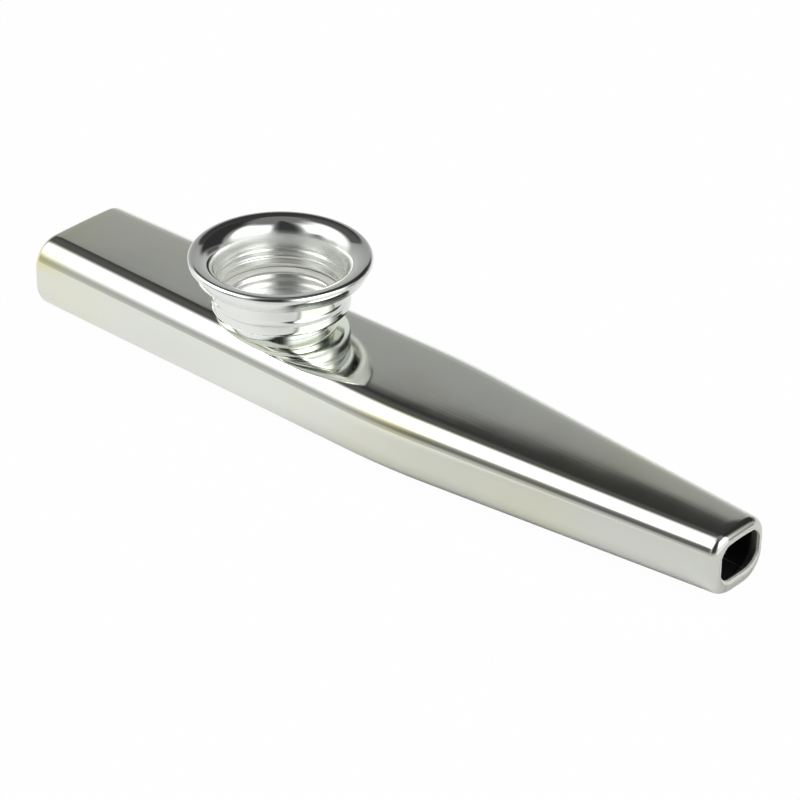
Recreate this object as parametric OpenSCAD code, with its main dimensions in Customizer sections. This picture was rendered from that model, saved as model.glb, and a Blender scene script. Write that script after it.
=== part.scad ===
// Metal kazoo: a tapered sheet-metal body with a screw-capped turret that holds a thin membrane.
// Millimetres. X runs from the wide end to the narrow end, Z is up and the underside lies on Z = 0.

/* [Body] */
// Length from the wide end to the narrow end
body_l = 120; // [90:1:160]
// Height of the body
body_h = 11.1; // [10:0.1:14]
// Width at the wide end
wide_w = 18.6; // [16:0.1:26]
// Width where the sides turn in
bend_w = 20.6; // [18.4:0.1:28]
// Width at the narrow end
narrow_w = 10.5; // [10:0.1:14]
// Distance from the wide end to the turn of the sides
bend_at = 66.5; // [55:0.5:75]
// Half the length over which that turn is rounded
bend_blend = 6.9; // [2:0.1:10]
// Rise of the underside at the narrow end
narrow_rise = 1.8; // [0:0.1:2.2]
// Thickness of the body's sheet
body_sheet = 0.45; // [0.3:0.05:0.7]
// Radius of the top corners at the wide end
wide_top_r = 4.1; // [2:0.1:4.6]
// Radius of the top corners at the turn of the sides
bend_top_r = 3.8; // [2:0.1:4.6]
// Radius of the top corners at the narrow end
narrow_top_r = 2.9; // [2:0.1:4]
// Radius of the lower corners at the wide end
wide_low_r = 4.3; // [2:0.1:4.6]
// Radius of the lower corners at the turn of the sides
bend_low_r = 5.5; // [2:0.1:5.6]
// Radius of the lower corners at the narrow end
narrow_low_r = 4.1; // [2:0.1:4.4]

/* [Open ends] */
// Radius over which the sheet turns in at the wide end
wide_lip_r = 1; // [0.8:0.1:1.5]
// Radius over which the sheet turns in at the narrow end
narrow_lip_r = 1.3; // [0.8:0.1:1.6]
// Width of the opening at the wide end
blow_w = 15; // [10:0.1:16]
// Height of the opening at the wide end
blow_h = 7.5; // [5:0.1:7.8]
// Corner radius of the opening at the wide end
blow_r = 2.9; // [1:0.1:3.5]
// Width of the opening at the narrow end
outlet_w = 8.2; // [6:0.1:8.4]
// Height of the opening at the narrow end
outlet_h = 5.9; // [4.8:0.1:6.2]
// Corner radius of the opening at the narrow end
outlet_r = 2.7; // [1:0.1:2.9]
// Height of the middle of the narrow opening above the rest plane
outlet_z = 6.95; // [6.6:0.05:7.2]

/* [Base plate] */
// Angle up the lower corners at which the plate meets the cover
seam_angle = 32; // [20:1:40]
// Gap left at the seam for the solder
seam_gap = 0.06; // [0.02:0.01:0.1]
// Angle over which the plate's straps lap inside the cover
lap_angle = 18; // [8:1:25]
// Clearance between a strap and the cover
lap_gap = 0.04; // [0.02:0.01:0.1]
// Distance from each end of the body at which the straps stop
lap_inset = 6; // [3:0.5:15]

/* [Turret cup] */
// Distance from the wide end to the turret's axis
turret_at = 40; // [30:0.5:45]
// Thickness of the cup's sheet
cup_sheet = 0.38; // [0.3:0.02:0.42]
// Outer radius of the neck that goes through the body's top
neck_r = 7.5; // [6.5:0.1:7.8]
// Clearance between the neck and the hole in the body's top
neck_gap = 0.04; // [0.02:0.01:0.1]
// Radius to which the neck is spread inside the body
spread_r = 8.3; // [8:0.1:8.8]
// Height of the cup's underside above the body's top
seat_rise = 1.5; // [1:0.1:3]
// Outer radius of the cup's wall
cup_r = 9.75; // [9.65:0.05:10.2]
// Height of the cup from its underside to the top of its bead
cup_h = 5.1; // [4.8:0.1:5.4]
// Radius of the rolled bead on the cup's edge
cup_bead_r = 0.36; // [0.3:0.02:0.45]
// Radius of the bend from the cup's floor to its wall
cup_bend_r = 0.9; // [0.45:0.05:1]

/* [Thread] */
// Height that the rolled thread climbs in one turn
thread_turn_h = 1.25; // [1:0.05:1.5]
// Depth of the thread in the cap
cap_thread_depth = 0.32; // [0.3:0.01:0.36]
// Depth of the thread in the cup
cup_thread_depth = 0.28; // [0.15:0.01:0.29]
// Share of a thread's depth that shows on the smooth side of the sheet
thread_show_share = 0.4; // [0.3:0.05:1]
// Radial clearance between the two threads
thread_gap = 0.08; // [0.05:0.01:0.1]
// Height over which the cup carries thread
cup_thread_h = 2; // [1.5:0.1:2.4]

/* [Membrane] */
// Outer radius of the two membrane rings
ring_r = 8.85; // [8.4:0.05:8.9]
// Radius of the hole in the two membrane rings
ring_hole_r = 7.7; // [7.2:0.1:8]
// Thickness of a membrane ring
ring_t = 0.25; // [0.15:0.05:0.3]
// Radius of the film
film_r = 8.7; // [8.1:0.05:8.85]
// Thickness of the film
film_t = 0.06; // [0.03:0.01:0.1]
// Clearance between the stacked pieces
stack_gap = 0.02; // [0.01:0.01:0.05]

/* [Bell cap] */
// Thickness of the cap's sheet
cap_sheet = 0.38; // [0.3:0.02:0.42]
// Height of the cap from its lower edge to its top
cap_h = 6.88; // [6.8:0.02:8]
// Outer radius of the bell's lip
bell_r = 12.8; // [12.4:0.05:14]
// Height over which the throat opens out into the lip
flare_h = 3.2; // [2.8:0.1:3.4]
// Height of the plain wall between the thread and the flare
plain_h = 0.48; // [0.44:0.02:0.8]
// Radius over which the lip is rolled at its outer edge
lip_edge_r = 0.65; // [0.5:0.05:0.8]
// Height of the lip from its top to the bottom of its curl
lip_h = 2.7; // [2.4:0.1:3]
// Distance by which the lip's curl lies inside its outer edge
lip_lean = 0.84; // [0.5:0.02:1.2]
// Radius of the curl that hides the edge of the sheet
lip_curl_r = 0.5; // [0.44:0.02:0.6]
// Angle at which the curl ends, turned back from level
lip_curl_angle = 200; // [150:10:240]

/* [Hidden] */

// Numbers of steps: round a corner, round a lip, round the turn of the sides, round and up a thread
corner_steps = 8;
lip_steps = 4;
bend_steps = 6;
turn_steps = 48;
pitch_steps = 8;

// Numbers of steps up the bell's flare and round each roll or bend of a turned sheet
flare_steps = 12;
roll_steps = 10;

// Small turn that tells the end of one corner from the start of the next
corner_join = 0.001;

// One overrun for every cut
overrun = 1;

// Heights and radii that follow from the sizes above
cup_z = body_h + seat_rise;
ledge_z = cup_z + cup_sheet;
cup_in_r = cup_r - cup_sheet;
cup_bead_z = cup_z + cup_h - cup_bead_r;
lower_ring_z = ledge_z + stack_gap;
film_z = lower_ring_z + ring_t + stack_gap;
upper_ring_z = film_z + film_t + stack_gap;
cap_z = upper_ring_z + ring_t + stack_gap;
cap_out_r = cup_in_r - thread_gap;
cap_in_r = cap_out_r - cap_sheet;
neck_in_r = neck_r - cup_sheet;

// The bell's flare is a quarter of an ellipse from the throat to the crest of the lip
bell_z = cap_z + cap_h;
crest_r = bell_r - lip_edge_r;
flare_w = crest_r - cap_in_r;
flare_z = bell_z - flare_h;

// Middles of the roll at the lip's outer edge and of the curl under it, and the angle at which
// the sheet leaves the one for the other
edge_middle = [crest_r, bell_z - lip_edge_r];
curl_middle = [bell_r - lip_lean - lip_curl_r, bell_z - lip_h + lip_curl_r];
edge_to_curl = curl_middle - edge_middle;
leave_angle = atan2(edge_to_curl[1], edge_to_curl[0])
    + acos((lip_edge_r - lip_curl_r) / norm(edge_to_curl));

// The threaded bands end inside the plain walls, a little thinner than they are
tuck = cup_sheet / 6;
tuck_run = cup_sheet / 2;
thread_run = thread_turn_h / 4;
cup_thread_z = cup_z + cup_bend_r;
cup_thread_top = cup_thread_z + cup_thread_h;
cap_thread_top = flare_z - plain_h;

// Value that runs straight from a to b at the turn of the sides and from b to c at the far end,
// with the corner between the two slopes rounded by a parabola
function along(s, a, b, c) =
    let (
        first = (b - a) / bend_at,
        second = (c - b) / (body_l - bend_at),
        d = s - bend_at
    )
    d <= -bend_blend ? b + first * d :
    d >= bend_blend ? b + second * d :
    b + first * d + (second - first) * pow(d + bend_blend, 2) / (4 * bend_blend);

// Half width, underside, top, top corner radius and lower corner radius of the body
// at the distance s from the wide end, drawn in by inset
function section(s, inset) = [
    along(s, wide_w, bend_w, narrow_w) / 2 - inset,
    along(s, 0, 0, narrow_rise) + inset,
    body_h - inset,
    along(s, wide_top_r, bend_top_r, narrow_top_r) - inset,
    along(s, wide_low_r, bend_low_r, narrow_low_r) - inset
];

// The same five values for an opening of a given width, height, corner radius and middle height
function opening(w, h, r, z) = [w / 2, z - h / 2, z + h / 2, r, r];

// Point of a section on one of its four corners, found from the angle round it
function corner_point(c, angle) =
    let (
        right = angle <= 90,
        low = angle < 0 || angle > 180,
        r = low ? c[4] : c[3],
        y = (right ? 1 : -1) * (c[0] - r),
        z = low ? c[1] + r : c[2] - r
    )
    [y + r * cos(angle), z + r * sin(angle)];

// Height of the body's top at the distance s from the wide end and y from its middle, drawn in by inset
function top_height(s, y, inset) =
    let (
        c = section(s, inset),
        past_flat = max(0, abs(y) - (c[0] - c[3]))
    )
    c[2] - c[3] + sqrt(max(0, pow(c[3], 2) - pow(past_flat, 2)));

// One ring of points round a section at the distance s from the wide end
function ring(s, c, angles) = [
    for (angle = angles)
        let (p = corner_point(c, angle))
        [s - body_l / 2, p[0], p[1]]
];

// Places along the body from lip to lip, each with a distance and an inset, for the outer
// surface at depth 0 and for the inner surface at the depth of the sheet
function lip_places(lip_r, depth) = [
    for (k = [lip_steps:-1:0])
        let (angle = 90 * k / lip_steps)
        [lip_r - (lip_r - depth) * sin(angle), lip_r - (lip_r - depth) * cos(angle)]
];
function bend_places(depth) = [
    for (k = [0:bend_steps])
        [bend_at + bend_blend * (2 * k / bend_steps - 1), depth]
];
function far_lip_places(depth) =
    let (near = lip_places(narrow_lip_r, depth))
    [for (k = [lip_steps:-1:0]) [body_l - near[k][0], near[k][1]]];

// All rings of one surface of the body, from the edge of the wide opening to the edge of the narrow one
function surface_rings(depth, angles) =
    let (
        places = concat(lip_places(wide_lip_r, depth), bend_places(depth), far_lip_places(depth)),
        blow_z = body_h / 2
    )
    concat(
        [ring(depth, opening(blow_w, blow_h, blow_r, blow_z), angles)],
        [for (p = places) ring(p[0], section(p[0], p[1]), angles)],
        [ring(body_l - depth, opening(outlet_w, outlet_h, outlet_r, outlet_z), angles)]
    );

// Solid sheet between an outer and an inner grid of points. Each grid is a list of rings,
// and closed joins the last point of every ring to its first.
module sheet(outer, inner, closed = false) {
    rings = len(outer);
    points = len(outer[0]);
    last = closed ? points : points - 1;
    total = rings * points;
    function a(i, j) = i * points + j % points;
    function b(i, j) = total + a(i, j);
    polyhedron(
        points = concat([for (r = outer) each r], [for (r = inner) each r]),
        faces = concat(
            [for (i = [0:rings - 2]) for (j = [0:last - 1]) each [
                [a(i, j), a(i + 1, j), a(i + 1, j + 1)],
                [a(i, j), a(i + 1, j + 1), a(i, j + 1)],
                [b(i, j), b(i + 1, j + 1), b(i + 1, j)],
                [b(i, j), b(i, j + 1), b(i + 1, j + 1)]
            ]],
            [for (j = [0:last - 1]) each [
                [a(0, j), a(0, j + 1), b(0, j + 1)],
                [a(0, j), b(0, j + 1), b(0, j)],
                [a(rings - 1, j + 1), a(rings - 1, j), b(rings - 1, j)],
                [a(rings - 1, j + 1), b(rings - 1, j), b(rings - 1, j + 1)]
            ]],
            closed ? [] : [for (i = [0:rings - 2]) each [
                [a(i + 1, 0), a(i, 0), b(i, 0)],
                [a(i + 1, 0), b(i, 0), b(i + 1, 0)],
                [a(i, last), a(i + 1, last), b(i + 1, last)],
                [a(i, last), b(i + 1, last), b(i, last)]
            ]]
        )
    );
}

// Angles from one to another in equal steps
function sweep(from, to, steps) = [for (k = [0:steps]) from + (to - from) * k / steps];

// Angle that the seam's gap takes up on the lower corners
seam_step = asin(seam_gap / narrow_low_r);

// The cover goes round from the right seam, up over the top, to the left seam
cover_angles = concat(
    sweep(seam_angle - 90, -corner_join, corner_steps),
    sweep(0, 90, corner_steps),
    sweep(90 + corner_join, 180, corner_steps),
    sweep(180 + corner_join, 270 - seam_angle, corner_steps)
);

// The plate goes round the underside from the left seam to the right seam
plate_angles = concat(
    sweep(270 - seam_angle + seam_step, 270, corner_steps / 2),
    sweep(-90, seam_angle - 90 - seam_step, corner_steps / 2)
);

module on_turret() {
    translate([turret_at - body_l / 2, 0, 0]) children();
}

module body_cover() {
    color("silver") difference() {
        sheet(surface_rings(0, cover_angles), surface_rings(body_sheet, cover_angles));
        on_turret() translate([0, 0, body_h - body_sheet - overrun])
            cylinder(h = body_sheet + 2 * overrun, r = neck_r + neck_gap, $fn = 96);
    }
}

// Strap soldered inside one edge of the plate: half of it lies in the plate's sheet and half
// laps the cover. Its sheet steps inwards at the seam.
module lap_strap(side) {
    places = concat([[lap_inset, 0]], bend_places(0), [[body_l - lap_inset, 0]]);
    turns = [-lap_angle, -lap_angle / 2, 0, lap_angle];
    bite = body_sheet / 3;
    function angle(turn) = side > 0 ? seam_angle - 90 + turn : 270 - seam_angle - turn;
    function depth(turn, base) = turn < 0 ? base - bite : base + lap_gap;
    function rings(base) = [
        for (p = places) [
            for (turn = side > 0 ? turns : [for (k = [len(turns) - 1:-1:0]) turns[k]])
                ring(p[0], section(p[0], depth(turn, base)), [angle(turn)])[0]
        ]
    ];
    sheet(rings(body_sheet), rings(2 * body_sheet));
}

module base_plate() {
    color("gainsboro") union() {
        sheet(surface_rings(0, plate_angles), surface_rings(body_sheet, plate_angles));
        lap_strap(1);
        lap_strap(-1);
    }
}

// Share of the full thread depth at the height z, with a run in and a run out
function thread_share(z, low, high) = max(0, min(1, (z - low) / thread_run, (high - z) / thread_run));

// Share of the thread's depth at the height z and the angle round the turret
function groove_share(z, angle) = (1 + cos(360 * z / thread_turn_h - angle)) / 2;

// Band of sheet with a rolled helical thread, whose depth is given for the outside and the inside
// of the sheet. A tucked end sits inside the plain wall beyond it.
module threaded_band(low, high, r, sheet_t, depths, run_low, run_high, tuck_low) {
    rows = ceil((high - low) / thread_turn_h * pitch_steps);
    body = [for (k = [0:rows]) [low + (high - low) * k / rows, 0]];
    places = concat(
        tuck_low ? [[low - 2 * tuck_run, tuck], [low - tuck_run / 2, tuck]] : [],
        body,
        [[high + tuck_run / 2, tuck], [high + 2 * tuck_run, tuck]]
    );
    function wall(p, plain_r, depth) = [
        for (k = [0:turn_steps - 1])
            let (
                angle = 360 * k / turn_steps,
                share = thread_share(p[0], run_low, run_high) * groove_share(p[0], angle),
                at = plain_r - depth * share
            )
            [at * cos(angle), at * sin(angle), p[0]]
    ];
    sheet(
        [for (p = places) wall(p, r - p[1], depths[0])],
        [for (p = places) wall(p, r - sheet_t + p[1], depths[1])],
        closed = true
    );
}

// Plain wall of revolution from one radius and height to another
module plain_wall(r, sheet_t, low, high) {
    translate([r - sheet_t, low]) square([sheet_t, high - low]);
}

// Points of a roll round its middle, without the first, which the sheet has reached already
function roll(middle, r, from, to) =
    let (angles = sweep(from, to, roll_steps))
    [for (k = [1:roll_steps]) middle + r * [cos(angles[k]), sin(angles[k])]];

// Sheet turned about the axis, between the points of its outer and inner side
module turned_sheet(outer, inner) {
    rotate_extrude($fn = 96) polygon(concat(outer, [for (k = [len(inner) - 1:-1:0]) inner[k]]));
}

// Neck of the cup, with its lower edge spread against the inside of the body's top. The edge follows
// the rounded corners of the body, and the neck's upper end sits inside the ledge.
module spread_neck() {
    function point(r, k) = [r * cos(360 * k / turn_steps), r * sin(360 * k / turn_steps)];
    function under_top(r, depth) = [
        for (k = [0:turn_steps - 1])
            let (p = point(r, k))
            [p[0], p[1], top_height(turret_at + p[0], p[1], body_sheet + neck_gap + depth)]
    ];
    function level(r, z) = [for (k = [0:turn_steps - 1]) [each point(r, k), z]];
    sheet(
        [
            under_top(spread_r, 0), under_top(neck_r, 0),
            level(neck_r, cup_z - tuck_run / 2), level(neck_r - tuck, cup_z + tuck_run)
        ],
        [
            under_top(spread_r, cup_sheet), under_top(neck_in_r, cup_sheet),
            level(neck_in_r, cup_z - tuck_run / 2), level(neck_in_r + tuck, cup_z + tuck_run)
        ],
        closed = true
    );
}

// One side of the cup's sheet at the given depth in it, from the neck along the membrane's ledge
// and round the bend to the foot of the wall
function cup_side(depth) = concat(
    [[neck_in_r, cup_z + depth], [cup_r - cup_bend_r, cup_z + depth]],
    roll([cup_r - cup_bend_r, cup_thread_z], cup_bend_r - depth, -90, 0),
    [[cup_r - depth, cup_thread_z + 2 * tuck_run]]
);

module turret_cup() {
    color("whitesmoke") on_turret() union() {
        spread_neck();
        turned_sheet(cup_side(0), cup_side(cup_sheet));
        threaded_band(
            cup_thread_z + 3 * tuck_run, cup_thread_top, cup_r, cup_sheet,
            [thread_show_share * cup_thread_depth, cup_thread_depth],
            cup_thread_z + 3 * tuck_run, cup_thread_top, true
        );
        rotate_extrude($fn = 96) {
            plain_wall(cup_r, cup_sheet, cup_thread_top + tuck_run, cup_bead_z);
            // Rolled bead on the edge
            translate([cup_in_r + cup_bead_r, cup_bead_z]) circle(r = cup_bead_r, $fn = 48);
        }
    }
}

// Flat ring of the membrane's cartridge
module membrane_ring(z) {
    on_turret() translate([0, 0, z]) difference() {
        cylinder(h = ring_t, r = ring_r, $fn = 96);
        translate([0, 0, -overrun]) cylinder(h = ring_t + 2 * overrun, r = ring_hole_r, $fn = 96);
    }
}

module lower_membrane_ring() {
    color("tan") membrane_ring(lower_ring_z);
}

module membrane() {
    color("ivory") on_turret() translate([0, 0, film_z]) cylinder(h = film_t, r = film_r, $fn = 96);
}

module upper_membrane_ring() {
    color("tan") membrane_ring(upper_ring_z);
}

// One side of the bell's sheet at the given depth in it, from the top of the thread up the throat,
// over the crest of the lip and round its curl
function bell_side(depth) = concat(
    [[cap_in_r + depth, cap_thread_top + tuck_run]],
    [
        for (angle = sweep(180, 90, flare_steps))
            [crest_r + (flare_w - depth) * cos(angle), flare_z + (flare_h - depth) * sin(angle)]
    ],
    roll(edge_middle, lip_edge_r - depth, 90, leave_angle),
    roll(curl_middle, lip_curl_r - depth, leave_angle, -lip_curl_angle)
);

module bell_cap() {
    color("white") on_turret() union() {
        threaded_band(
            cap_z, cap_thread_top, cap_out_r, cap_sheet,
            [cap_thread_depth, thread_show_share * cap_thread_depth],
            cap_z - thread_run, cap_thread_top, false
        );
        turned_sheet(bell_side(0), bell_side(cap_sheet));
    }
}

body_cover();
base_plate();
turret_cup();
lower_membrane_ring();
membrane();
upper_membrane_ring();
bell_cap();
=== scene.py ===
# %% [markdown]
# # A metal kazoo
#
# This lesson dresses a kazoo that was pressed from plated sheet steel. The working model, with its
# sizes, its screw thread and its joints, is loaded first and is never moved. Every visible piece is
# then made again as a finer mesh in the same place, because polished metal shows each facet of a
# coarse one in its reflections.
#
# Lengths are written in millimetres and turned into Blender's metres by one value, MM.

# %% Start and load the working model
import math

import bmesh
import bpy
from mathutils import Matrix, Vector


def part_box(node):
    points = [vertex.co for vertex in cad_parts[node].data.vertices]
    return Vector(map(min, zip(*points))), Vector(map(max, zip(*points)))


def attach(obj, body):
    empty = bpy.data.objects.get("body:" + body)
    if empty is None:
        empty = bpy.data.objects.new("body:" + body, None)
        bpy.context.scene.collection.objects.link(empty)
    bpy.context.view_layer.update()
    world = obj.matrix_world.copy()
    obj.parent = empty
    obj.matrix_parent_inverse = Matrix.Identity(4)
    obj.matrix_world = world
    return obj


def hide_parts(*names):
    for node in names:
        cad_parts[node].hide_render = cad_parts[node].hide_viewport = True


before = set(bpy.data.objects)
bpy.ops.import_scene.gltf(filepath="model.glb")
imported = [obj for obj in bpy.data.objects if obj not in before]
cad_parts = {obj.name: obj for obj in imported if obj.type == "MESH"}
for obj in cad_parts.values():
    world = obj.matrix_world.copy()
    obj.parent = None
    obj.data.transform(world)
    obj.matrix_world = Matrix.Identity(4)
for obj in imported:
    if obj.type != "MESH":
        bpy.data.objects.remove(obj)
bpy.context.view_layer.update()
MM = 0.001

# %% [markdown]
# The places that matter most, such as the body's ends, the turret's axis and the heights of the cap,
# are read from the working model's own pieces, so the finer meshes can't drift away from it.

# %% Places taken from the working model
cover_low, cover_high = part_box("body_cover")
cap_low, cap_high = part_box("bell_cap")
film_low, film_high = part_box("membrane")
_, cup_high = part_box("turret_cup")

body_l = cover_high.x - cover_low.x
body_top = cover_high.z
turret_x = (cap_low.x + cap_high.x) / 2
bell_r = (cap_high.x - cap_low.x) / 2
bell_top = cap_high.z
print(f"body {body_l / MM:.1f} mm long, bell {bell_r * 2 / MM:.1f} mm across at x {turret_x / MM:.1f} mm")

# %% [markdown]
# The photograph was taken with a long lens from the narrow end's side, about 31 degrees above the
# table. The camera's place was worked out from the kazoo's outline: a distance, two angles, a very
# small roll and the point that the middle of the picture looks at. The lens length follows from the
# picture being 800 pixels wide on Blender's 36 mm sensor.

# %% Camera
CAMERA_AZIMUTH = math.radians(41.49)
CAMERA_ELEVATION = math.radians(31.09)
CAMERA_ROLL = math.radians(0.71)
CAMERA_DISTANCE = 498.2 * MM
LOOK_AT = Vector((3.97, -2.01, 7.86)) * MM
LENS_MM = 166.6
SENSOR_MM = 36
NEAREST_SEEN, FURTHEST_SEEN = 10 * MM, 20.0


def camera_axes(azimuth, elevation, roll):
    """The camera's right, up and backward directions in the object's frame."""
    back = Vector((
        math.sin(azimuth) * math.cos(elevation),
        -math.cos(azimuth) * math.cos(elevation),
        math.sin(elevation),
    ))
    right = (-back).cross(Vector((0, 0, 1))).normalized()
    up = right.cross(-back)
    rolled_right = right * math.cos(roll) + up * math.sin(roll)
    rolled_up = up * math.cos(roll) - right * math.sin(roll)
    return rolled_right, rolled_up, back


def add_camera():
    data = bpy.data.cameras.new("camera")
    data.lens = LENS_MM
    data.sensor_width = SENSOR_MM
    data.clip_start = NEAREST_SEEN
    data.clip_end = FURTHEST_SEEN
    camera = bpy.data.objects.new("camera", data)
    right, up, back = camera_axes(CAMERA_AZIMUTH, CAMERA_ELEVATION, CAMERA_ROLL)
    camera.matrix_world = Matrix.Translation(LOOK_AT + back * CAMERA_DISTANCE) @ Matrix((
        (right.x, up.x, back.x, 0),
        (right.y, up.y, back.y, 0),
        (right.z, up.z, back.z, 0),
        (0, 0, 0, 1),
    ))
    bpy.context.scene.collection.objects.link(camera)
    bpy.context.scene.camera = camera
    return camera


bpy.context.scene.view_settings.view_transform = "Standard"
camera = add_camera()
print("camera at, mm:", [round(v / MM) for v in camera.matrix_world.translation])

# %% [markdown]
# Sheet metal is a surface with a thickness, so each pressed piece is built as two grids of points,
# one for the outside of the sheet and one for the inside, joined along their edges. A grid could
# also be thickened with a modifier, but two grids keep the inside corners as round as they really
# are. Smooth shading with a sharp-edge angle keeps the rolled curves soft and the cut edges crisp.
#
# Polish and plating only reach what a buffing wheel and the bath can reach. So the points of a sheet
# can carry three marks that the finish reads later: how dull the sheet is there, how far painted shade
# darkens it, and how much of a warm reflection is painted on it as a yellow tint.

# %% Helper: sheet between two grids
SHARP_ANGLE = math.radians(40)


def mark(piece, name, values):
    """Stores one number for each point of a piece, for its material to read."""
    stored = piece.data.attributes.new(name, "FLOAT", "POINT")
    stored.data.foreach_set("value", values)


def link_mesh(name, verts, faces):
    mesh = bpy.data.meshes.new(name)
    mesh.from_pydata([tuple(v) for v in verts], [], faces)
    mesh.validate()
    made = bmesh.new()
    made.from_mesh(mesh)
    bmesh.ops.recalc_face_normals(made, faces=made.faces)
    made.to_mesh(mesh)
    made.free()
    mesh.shade_smooth()
    mesh.set_sharp_from_angle(angle=SHARP_ANGLE)
    piece = bpy.data.objects.new(name, mesh)
    bpy.context.scene.collection.objects.link(piece)
    return piece


def sheet_piece(name, outer, inner):
    """A solid sheet between an outer and an inner grid, each a list of rings of points."""
    last_ring, last_point = len(outer) - 1, len(outer[0]) - 1
    verts = [v for ring in outer + inner for v in ring]

    def on_outer(i, j):
        return i * len(outer[0]) + j

    def on_inner(i, j):
        return on_outer(i + len(outer), j)

    faces = []
    for i in range(last_ring):
        for j in range(last_point):
            faces.append((on_outer(i, j), on_outer(i + 1, j), on_outer(i + 1, j + 1), on_outer(i, j + 1)))
            faces.append((on_inner(i, j), on_inner(i, j + 1), on_inner(i + 1, j + 1), on_inner(i + 1, j)))
    for i in (0, last_ring):
        for j in range(last_point):
            faces.append((on_outer(i, j), on_outer(i, j + 1), on_inner(i, j + 1), on_inner(i, j)))
    for j in (0, last_point):
        for i in range(last_ring):
            faces.append((on_outer(i, j), on_outer(i + 1, j), on_inner(i + 1, j), on_inner(i, j)))
    return link_mesh(name, verts, faces)


# %% [markdown]
# The body is a flat tube with rounded corners. Its width grows a little from the blowing end to the
# turn of the sides and then tapers to the narrow end, while the underside rises slightly over the
# same stretch. One function gives any of these measures along the body, and the two straight slopes
# run into each other through a parabola, as pressed metal does.
#
# The top looks flat but isn't quite: its reflections run together towards the near edge, as they
# only do on a face that is domed by a fraction of a millimetre. The dome is taken off the flat top,
# so the body never grows.

# %% Body measures
# three numbers are a measure at the wide end, at the bend and at the narrow end
WIDTHS = (18.6 * MM, 20.6 * MM, 10.5 * MM)
TOP_CORNERS = (4.1 * MM, 3.8 * MM, 2.9 * MM)
LOW_CORNERS = (4.3 * MM, 5.5 * MM, 4.1 * MM)
NARROW_RISE = 1.8 * MM
TOP_DOMES = (0.2 * MM, 0.12 * MM, 0.26 * MM)
BEND_AT = 66.5 * MM
BEND_BLEND = 6.9 * MM
BODY_SHEET = 0.45 * MM


def along(s, sizes):
    """A measure at the distance s from the wide end, from its values at the start, bend and end."""
    start, bend, end = sizes
    first = (bend - start) / BEND_AT
    second = (end - bend) / (body_l - BEND_AT)
    d = s - BEND_AT
    if d <= -BEND_BLEND:
        return bend + first * d
    if d >= BEND_BLEND:
        return bend + second * d
    return bend + first * d + (second - first) * (d + BEND_BLEND) ** 2 / (4 * BEND_BLEND)


def section(s, inset):
    """The body's section at the distance s from the wide end, drawn in by an inset."""
    return {
        "half_w": along(s, WIDTHS) / 2 - inset,
        "low": along(s, (0, 0, NARROW_RISE)) + inset,
        "top": body_top - inset,
        "top_r": along(s, TOP_CORNERS) - inset,
        "low_r": along(s, LOW_CORNERS) - inset,
        "dome": along(s, TOP_DOMES),
    }


def dome_drop(c, y, z):
    """How far the domed top lies under a flat one at a point of the section."""
    middle = (c["low"] + c["top"]) / 2
    share = max(0.0, (z - middle) / (c["top"] - middle))
    return c["dome"] * (y / c["half_w"]) ** 2 * share


def top_height(s, y, depth):
    """Height of the body's domed top at the distance s and y from its middle, at a depth under it."""
    c = section(s, depth)
    past_flat = max(0.0, abs(y) - (c["half_w"] - c["top_r"]))
    z = c["top"] - c["top_r"] + math.sqrt(max(0.0, c["top_r"] ** 2 - past_flat ** 2))
    return z - dome_drop(c, y, z)


print("body width at the bend, mm:", round(2 * section(BEND_AT, 0)["half_w"] / MM, 2))

# %% [markdown]
# A ring of points round the section goes from corner to corner. Each corner is an arc, and the flat
# stretches between two arcs get a few points of their own, so that the dome has something to bend.

# %% Ring of points round a section
RIGHT, LEFT = 1, -1
LOWER, UPPER = "low", "top"
FLAT_STEPS = 8


def sweep(start, end, steps):
    """Evenly spaced values from start to end."""
    return [start + (end - start) * k / steps for k in range(steps + 1)]


def corner_point(c, side, level, angle):
    r = c[level + "_r"]
    y = side * (c["half_w"] - r) + r * math.cos(math.radians(angle))
    z = (c["low"] + r if level == LOWER else c["top"] - r) + r * math.sin(math.radians(angle))
    return y, z


def section_ring(s, c, corners):
    """Points round the section c. corners: (side, level, angles) for each corner, in order."""
    ring = []
    for side, level, angles in corners:
        arc = [corner_point(c, side, level, angle) for angle in angles]
        if ring:
            (y0, z0), (y1, z1) = ring[-1], arc[0]
            ring += [
                (y0 + (y1 - y0) * k / FLAT_STEPS, z0 + (z1 - z0) * k / FLAT_STEPS)
                for k in range(1, FLAT_STEPS)
            ]
        ring += arc
    return [Vector((s + cover_low.x, y, z - dome_drop(c, y, z))) for y, z in ring]


# %% [markdown]
# At both ends the sheet is turned in to a smooth lip with a hole in it. Along the tube the rings
# therefore follow a quarter circle round the end, then run straight in to the hole, where the cut
# edge is slightly rounded. The inside of the sheet follows the same path, one thickness deeper.

# %% Rings of the body's outer and inner surfaces
WIDE_LIP_R = 1.0 * MM
NARROW_LIP_R = 1.3 * MM
BLOW_HOLE = {"width": 15 * MM, "height": 7.5 * MM, "corner": 2.9 * MM, "middle": body_top / 2}
OUTLET = {"width": 8.2 * MM, "height": 5.9 * MM, "corner": 2.7 * MM, "middle": 6.95 * MM}
EDGE_R = 0.12 * MM
LIP_STEPS = 12
EDGE_STEPS = 3
BEND_STEPS = 24
LIP_RUN = 1 * MM
RUN_STEPS = 8


def hole_section(hole, grow):
    """A hole's outline as a section, grown on all sides."""
    r = hole["corner"] + grow
    return {
        "half_w": hole["width"] / 2 + grow,
        "low": hole["middle"] - hole["height"] / 2 - grow,
        "top": hole["middle"] + hole["height"] / 2 + grow,
        "top_r": r, "low_r": r, "dome": 0.0,
    }


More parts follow.
